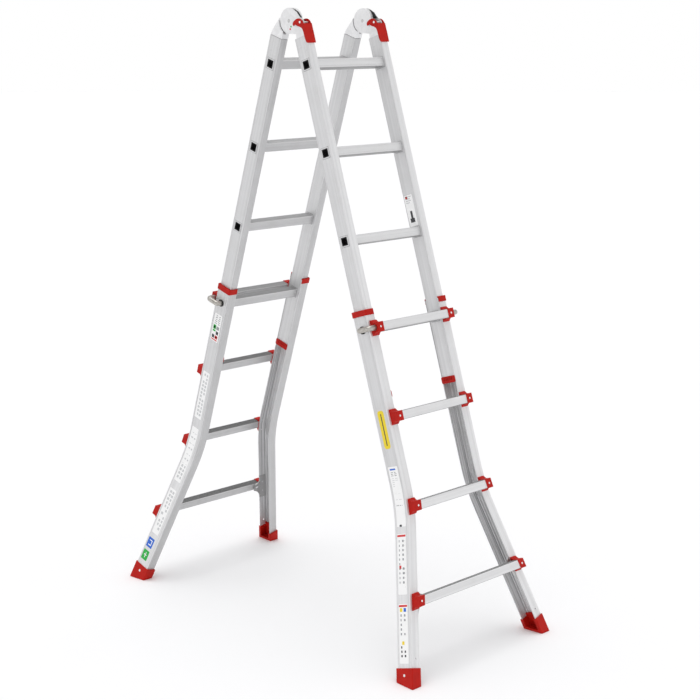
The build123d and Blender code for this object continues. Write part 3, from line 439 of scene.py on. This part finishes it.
INKS = {
    "white": vinyl("film_white", (0.95, 0.95, 0.95), 0.02),
    "grey": vinyl("film_grey", (0.30, 0.31, 0.32)),
    "pale": vinyl("film_pale", (0.60, 0.61, 0.62), 0.03),
    "black": vinyl("film_black", (0.03, 0.03, 0.035)),
    "red": vinyl("film_red", (0.66, 0.02, 0.02)),
    "yellow": vinyl("film_yellow", (0.86, 0.66, 0.01)),
    "blue": vinyl("film_blue", (0.015, 0.13, 0.62)),
    "green": vinyl("film_green", (0.01, 0.42, 0.05)),
}
FILM = 0.00022                  # thickness of a label
PRINT = 0.00004                 # print above the film
SINK = 0.00002                  # film let into the face below it
DOT_R = 0.0030                  # round stickers beside the levers
CUT = 0.02                      # longest step of a film that follows the bend


def web_surface(s):
    """(|x|, outward x, outward z) of the outer stile's outer face at level s."""
    t = s - BEND_S
    if t <= 0:
        return WEB_X, 1.0, 0.0
    if t <= BEND_R * math.sin(FLARE):
        a = math.asin(t / BEND_R)
        return WEB_X + BEND_R * (1 - math.cos(a)), math.cos(a), math.sin(a)
    return (WEB_X + BEND_R * (1 - math.cos(FLARE)) + (t - BEND_R * math.sin(FLARE)) * math.tan(FLARE),
            math.cos(FLARE), math.sin(FLARE))


def on_web(side, leg):
    """Points on an outer stile's outer face, from a level, a place across and a lift off the face."""
    def point(s, v, lift):
        x, nx, nz = web_surface(s)
        return Vector((side * (x + lift * nx), leg * v, -s + lift * nz))
    return point


def on_inner_face(side, leg):
    """Points on an inner stile's inward face, from the same three."""
    def point(s, v, lift):
        return Vector((side * (INNER_X - lift), leg * v, -s))
    return point


def strip(verts, faces, ids, point, s0, s1, v0, v1, low, high, ink, corner=0.0):
    """A closed film between two levels and two widths, following the stile's surface."""
    steps = max(1, int((s1 - s0) / CUT)) if s1 > BEND_S else 1
    cuts = [(s0 + (s1 - s0) * i / steps, 0.0) for i in range(steps + 1)]
    if corner:
        turns = [(corner * (1 - math.cos(a)), corner * (1 - math.sin(a)))
                 for a in (i * math.pi / 12 for i in range(6))]
        cuts = ([(s0 + d, inset) for d, inset in turns]
                + [c for c in cuts if s0 + corner < c[0] < s1 - corner]
                + [(s0 + corner, 0.0), (s1 - corner, 0.0)]
                + [(s1 - d, inset) for d, inset in turns])
    cuts = sorted(set(cuts))
    base = len(verts)
    for s, inset in cuts:
        for v, lift in ((v0 + inset, high), (v1 - inset, high), (v1 - inset, low), (v0 + inset, low)):
            verts.append(point(s, v, lift))
    for i in range(len(cuts) - 1):
        a = base + 4 * i
        for j in range(4):
            k = (j + 1) % 4
            faces.append((a + j, a + k, a + 4 + k, a + 4 + j))
            ids.append(ink)
    last = base + 4 * (len(cuts) - 1)
    faces.append((base + 3, base + 2, base + 1, base))
    faces.append((last, last + 1, last + 2, last + 3))
    ids.extend((ink, ink))


def solid_film(name, body, leg, verts, faces, ids, inks):
    """One piece of film from points in a leg frame."""
    mesh = bpy.data.meshes.new(name)
    place = leg_matrix(leg)
    mesh.from_pydata([place @ v for v in verts], [], faces)
    for ink in inks:
        mesh.materials.append(INKS[ink])
    mesh.polygons.foreach_set("material_index", ids)
    mesh.validate()
    bm = bmesh.new()
    bm.from_mesh(mesh)
    bmesh.ops.recalc_face_normals(bm, faces=bm.faces)
    bm.to_mesh(mesh)
    bm.free()
    panel = bpy.data.objects.new(name, mesh)
    bpy.context.scene.collection.objects.link(panel)
    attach(panel, body)


def label(name, body, leg, point, s0, s1, v0, v1, film, prints, corner=0.003):
    """A label panel: one film and its printed blocks. prints hold (down, down, across, across, ink)."""
    inks = [film] + sorted({p[4] for p in prints} - {film})
    verts, faces, ids = [], [], []
    strip(verts, faces, ids, point, s0, s1, v0, v1, -SINK, FILM, 0, corner)
    for a0, a1, b0, b1, ink in prints:
        strip(verts, faces, ids, point, s0 + a0, s0 + a1, v0 + b0, v0 + b1, FILM / 2, FILM + PRINT,
              inks.index(ink))
    solid_film(name, body, leg, verts, faces, ids, inks)


def rows(rng, a0, a1, columns, pitch, thick, ink, fill=1.0):
    """Lines of plain blocks in columns."""
    out = []
    a = a0
    while a + thick < a1:
        for b0, b1 in columns:
            if rng.random() < fill:
                end = b0 + (b1 - b0) * rng.uniform(0.62, 1.0)
                out.append((a, a + thick, b0, end, ink))
        a += pitch
    return out


def front_panels(rng):
    """Labels down the front frame's left outer stile, with plain blocks and bars for print."""
    body, face = "front_outer_frame", on_web(-1, FRONT)
    label("panel_yellow", body, FRONT, face, 1.246, 1.366, 0.0245, 0.0515, "yellow",
          [(0.010, 0.110, 0.0115, 0.0155, "black")], 0.009)

    blocks = [(0.006, 0.011, 0.006, 0.030, "blue")]
    blocks += rows(rng, 0.017, 0.030, [(0.007, 0.018), (0.021, 0.032)], 0.005, 0.002, "grey")
    blocks += rows(rng, 0.036, 0.108, [(0.006, 0.018), (0.021, 0.034)], 0.006, 0.0015, "pale", 0.7)
    blocks += [(0.112, 0.122, 0.005, 0.018, "grey"), (0.112, 0.122, 0.021, 0.026, "grey"),
               (0.112, 0.122, 0.029, 0.032, "grey"), (0.128, 0.141, 0.012, 0.017, "black"),
               (0.128, 0.141, 0.019, 0.028, "grey")]
    blocks += rows(rng, 0.147, 0.165, [(0.008, 0.032)], 0.006, 0.0015, "pale")
    blocks += [(0.168, 0.171, 0.008, 0.032, "grey"), (0.178, 0.185, 0.012, 0.022, "black")]
    label("panel_long", body, FRONT, face, 1.422, 1.607, 0.020, 0.060, "white", blocks)

    blocks = [(0.003, 0.009, 0.001, 0.037, "red")]
    blocks += rows(rng, 0.018, 0.162, [(0.007, 0.012), (0.0215, 0.030)], 0.0135, 0.0065, "grey", 0.85)
    blocks += rows(rng, 0.020, 0.162, [(0.013, 0.0145), (0.031, 0.033)], 0.0135, 0.0025, "pale", 0.8)
    blocks += [(0.093, 0.103, 0.007, 0.016, "red")]
    label("panel_upper_guide", body, FRONT, face, 1.628, 1.806, 0.0195, 0.0575, "white", blocks)

    blocks = [(0.003, 0.009, 0.001, 0.037, "red"), (0.012, 0.023, 0.005, 0.016, "yellow"),
              (0.012, 0.023, 0.021, 0.032, "blue"), (0.108, 0.118, 0.012, 0.022, "yellow")]
    blocks += rows(rng, 0.030, 0.104, [(0.007, 0.013), (0.022, 0.030)], 0.0135, 0.0065, "grey", 0.9)
    blocks += rows(rng, 0.122, 0.160, [(0.007, 0.014), (0.022, 0.031)], 0.0125, 0.0065, "black", 0.7)
    label("panel_lower_guide", body, FRONT, face, 1.833, 2.005, 0.0195, 0.0575, "white", blocks)


def rear_panels(rng):
    """Labels down the rear frame's left outer stile."""
    body, face = "rear_outer_frame", on_web(-1, REAR)
    blocks = rows(rng, 0.006, 0.038, [(0.006, 0.016), (0.021, 0.032)], 0.007, 0.003, "grey")
    blocks += [(0.044, 0.056, 0.004, 0.018, "grey"), (0.042, 0.058, 0.020, 0.034, "green"),
               (0.046, 0.054, 0.023, 0.031, "white"), (0.062, 0.074, 0.004, 0.016, "black"),
               (0.060, 0.066, 0.019, 0.034, "green"), (0.078, 0.090, 0.004, 0.018, "red"),
               (0.081, 0.087, 0.007, 0.015, "white"), (0.078, 0.090, 0.021, 0.033, "black"),
               (0.093, 0.097, 0.004, 0.034, "red")]
    label("panel_signs", body, REAR, face, 1.035, 1.135, 0.020, 0.057, "white", blocks)

    for number, (s0, s1) in enumerate(((1.258, 1.440), (1.478, 1.689), (1.720, 1.895)), 1):
        blocks = rows(rng, 0.008, s1 - s0 - 0.008, [(0.005, 0.015), (0.018, 0.029)], 0.014, 0.009,
                      "pale", 0.9)
        label(f"panel_band_{number}", body, REAR, face, s0, s1, 0.025, 0.059, "white", blocks)

    label("panel_blue", body, REAR, face, 1.914, 1.950, 0.030, 0.060, "blue",
          [(0.008, 0.028, 0.007, 0.010, "white"), (0.008, 0.011, 0.010, 0.022, "white"),
           (0.025, 0.028, 0.010, 0.022, "white")], 0.002)
    label("panel_green", body, REAR, face, 1.962, 1.998, 0.030, 0.060, "green",
          [(0.008, 0.028, 0.013, 0.016, "white"), (0.016, 0.019, 0.008, 0.022, "white")], 0.002)


def inside_panel(rng):
    """The label on the front frame's right inner stile, facing inward."""
    blocks = rows(rng, 0.004, 0.030, [(0.004, 0.031)], 0.0065, 0.003, "pale")
    blocks += [(0.003, 0.012, 0.004, 0.013, "red"), (0.052, 0.076, 0.013, 0.022, "black"),
               (0.076, 0.090, 0.008, 0.027, "black")]
    label("panel_inside", "front_inner_frame", FRONT, on_inner_face(1, FRONT), 0.590, 0.692, 0.017, 0.052,
          "white", blocks)


def dot(verts, faces, ids, side, y, z, ink):
    """A small round sticker on a hinge plate's outer face, in the front leg frame."""
    count = 16
    base = len(verts)
    for lift in (-SINK, FILM):
        for i in range(count):
            a = 2 * math.pi * i / count
            verts.append(Vector((side * (PLATE_X + lift), y + DOT_R * math.cos(a), z + DOT_R * math.sin(a))))
    faces.append(tuple(range(base + count - 1, base - 1, -1)))
    faces.append(tuple(range(base + count, base + 2 * count)))
    ids.extend((ink, ink))
    for i in range(count):
        j = (i + 1) % count
        faces.append((base + i, base + j, base + count + j, base + count + i))
        ids.append(ink)


def hinge_dots():
    """A green and a red sticker beside each lever."""
    verts, faces, ids = [], [], []
    for side in (-1, 1):
        dot(verts, faces, ids, side, -0.0042, -0.0202, 0)
        dot(verts, faces, ids, side, 0.0015, -0.0262, 1)
    solid_film("hinge_dots", "front_inner_frame", FRONT, verts, faces, ids, ["green", "red"])


draws = random.Random(12)
front_panels(draws)
rear_panels(draws)
inside_panel(draws)
hinge_dots()


# ---------------------------------------------------------------------------
# Floor, light and camera
# ---------------------------------------------------------------------------

def floor():
    """A wide pale disc with a very faint surface."""
    look = Look("studio_floor")
    coords = look.place()
    soft = look.noise(coords, 3.0, 3.0, 0.5)
    look.finish(color=look.blend(soft, grey(0.945), grey(0.955)), rough=0.9, level=0.0)
    count = 96
    radius = 40.0
    mesh = bpy.data.meshes.new("floor")
    ring = [(radius * math.cos(2 * math.pi * i / count), radius * math.sin(2 * math.pi * i / count), 0.0)
            for i in range(count)]
    mesh.from_pydata(ring, [], [tuple(range(count))])
    mesh.materials.append(look.mat)
    disc = bpy.data.objects.new("floor", mesh)
    disc.location.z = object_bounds()[0][2] - 0.0002
    bpy.context.scene.collection.objects.link(disc)
    disc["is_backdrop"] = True


def studio():
    """A bright sky that dims overhead, and one very wide soft sun."""
    scene = bpy.context.scene
    world = bpy.data.worlds.new("studio")
    world.use_nodes = True
    nodes, links = world.node_tree.nodes, world.node_tree.links
    split = nodes.new("ShaderNodeSeparateXYZ")
    links.new(nodes.new("ShaderNodeTexCoord").outputs["Generated"], split.inputs["Vector"])
    fade = nodes.new("ShaderNodeMapRange")
    links.new(split.outputs["Z"], fade.inputs["Value"])
    for key, value in (("From Min", 0.03), ("From Max", 0.6), ("To Min", 1.0), ("To Max", 0.62)):
        fade.inputs[key].default_value = value
    links.new(fade.outputs["Result"], nodes["Background"].inputs["Color"])
    scene.world = world
    scene.view_settings.view_transform = "Standard"
    scene.view_settings.look = "None"
    sun = bpy.data.lights.new("sun", "SUN")
    sun.energy = 1.25
    sun.angle = math.radians(50.0)
    lamp = bpy.data.objects.new("sun", sun)
    lamp.rotation_euler = Vector((0.03, -0.05, -1.0)).to_track_quat("-Z", "Y").to_euler()
    scene.collection.objects.link(lamp)


def camera():
    """A long lens near hinge height, looking slightly down at the left front corner."""
    data = bpy.data.cameras.new("camera")
    data.lens = 80.39
    data.sensor_width = 36.0
    view = bpy.data.objects.new("camera", data)
    yaw, pitch, roll = (math.radians(a) for a in (-45.006, -11.929, 0.056))
    view.rotation_euler = (Matrix.Rotation(yaw, 3, "Z") @ Matrix.Rotation(math.pi / 2 + pitch, 3, "X")
                           @ Matrix.Rotation(roll, 3, "Z")).to_euler()
    view.location = (-3.5563, -3.6522, 1.9658)
    bpy.context.scene.collection.objects.link(view)
    bpy.context.scene.camera = view


floor()
studio()
camera()
